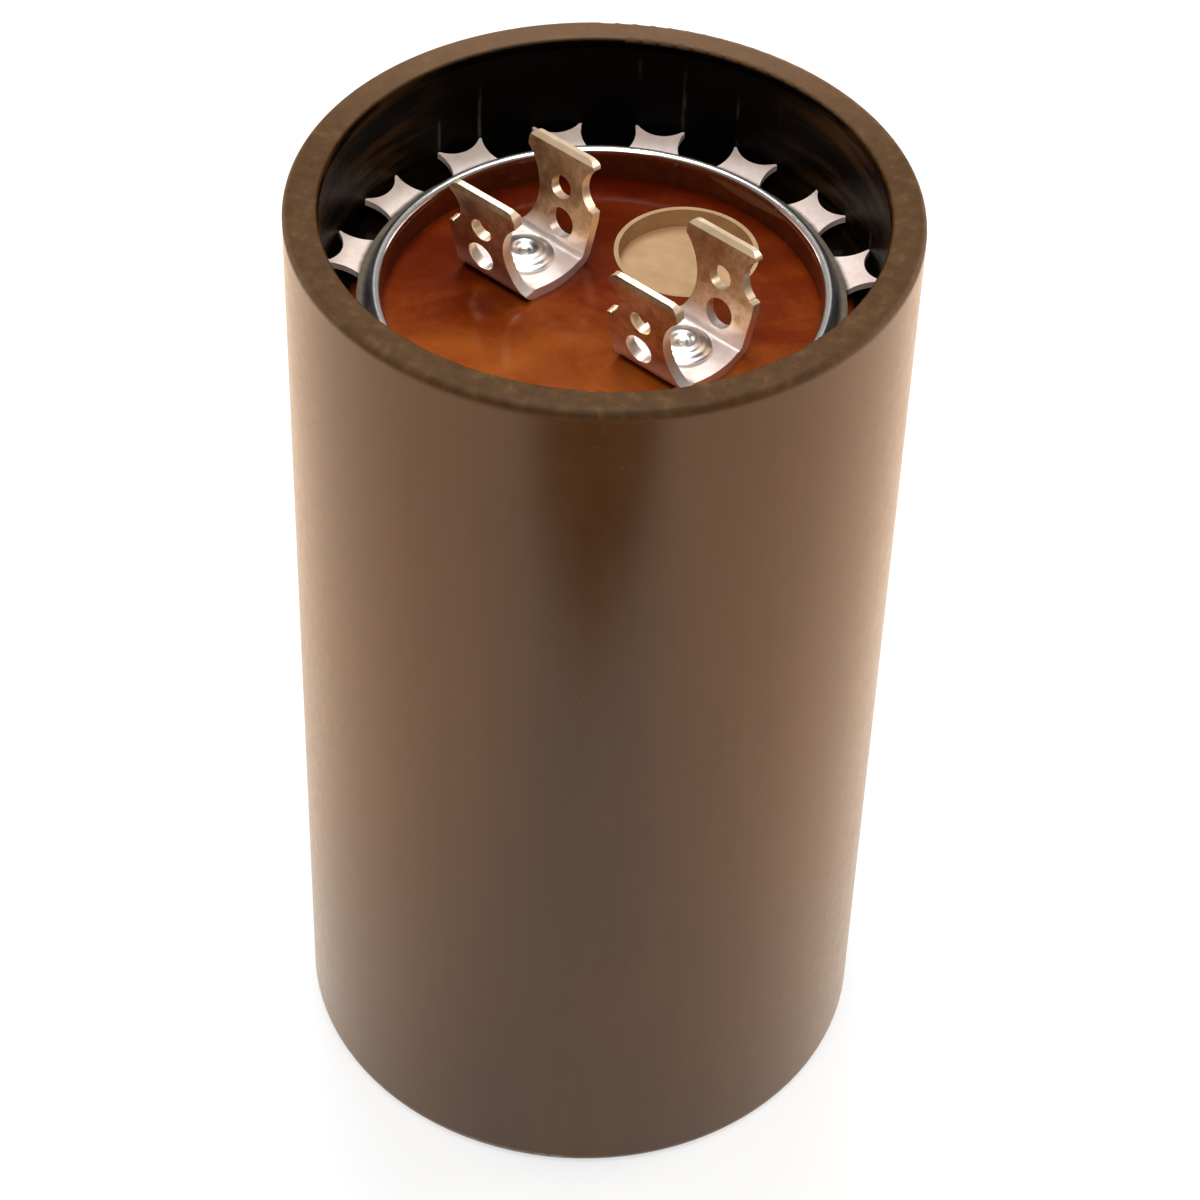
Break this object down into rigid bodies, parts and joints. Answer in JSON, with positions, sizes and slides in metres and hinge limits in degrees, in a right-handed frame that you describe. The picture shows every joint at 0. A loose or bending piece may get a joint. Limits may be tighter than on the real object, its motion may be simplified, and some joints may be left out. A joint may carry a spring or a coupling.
{
  "type": "motor start capacitor",
  "caption": "Round phenolic motor start capacitor with an open mouth, recessed cover, toothed retaining ring, vent plug and riveted twin-blade quick-connect terminals.",
  "frame": {"origin": "centre of the can's underside", "axes": "+Z along the can's axis, from the closed end to the open mouth; +X to the right and +Y away from the camera as the picture shows it"},
  "size_m": [0.046, 0.046, 0.0814],
  "materials": {
    "phenolic_case": "satin moulded, near-black brown",
    "phenolic_cover": "glossy red-brown",
    "black_rubber": "matt",
    "tan_rubber": "smooth tan",
    "tinned_brass": "tinned, warm silver",
    "plated_rivet": "bright plated",
    "plated_ring": "plated, slightly dull",
    "zinc_steel": "zinc plated",
    "aluminium_lead": "plain foil ribbon",
    "foil_and_paper": "wound edges of paper and foil",
    "kraft_wrap": "plain kraft paper",
    "fibre_board": "pressed fibre"
  },
  "bodies": {
    "root": {"case_cup": "phenolic_case", "bottom_pad": "fibre_board", "winding_roll": "foil_and_paper", "winding_wrap": "kraft_wrap", "top_pad": "fibre_board", "lead_left": "aluminium_lead", "lead_right": "aluminium_lead", "gasket": "black_rubber", "cover": "phenolic_cover", "vent_plug": "tan_rubber", "terminal_left": "tinned_brass", "terminal_right": "tinned_brass", "rivet_left": "plated_rivet", "rivet_right": "plated_rivet", "washer_left": "zinc_steel", "washer_right": "zinc_steel", "retaining_ring": "plated_ring"}
  },
  "joints": []
}
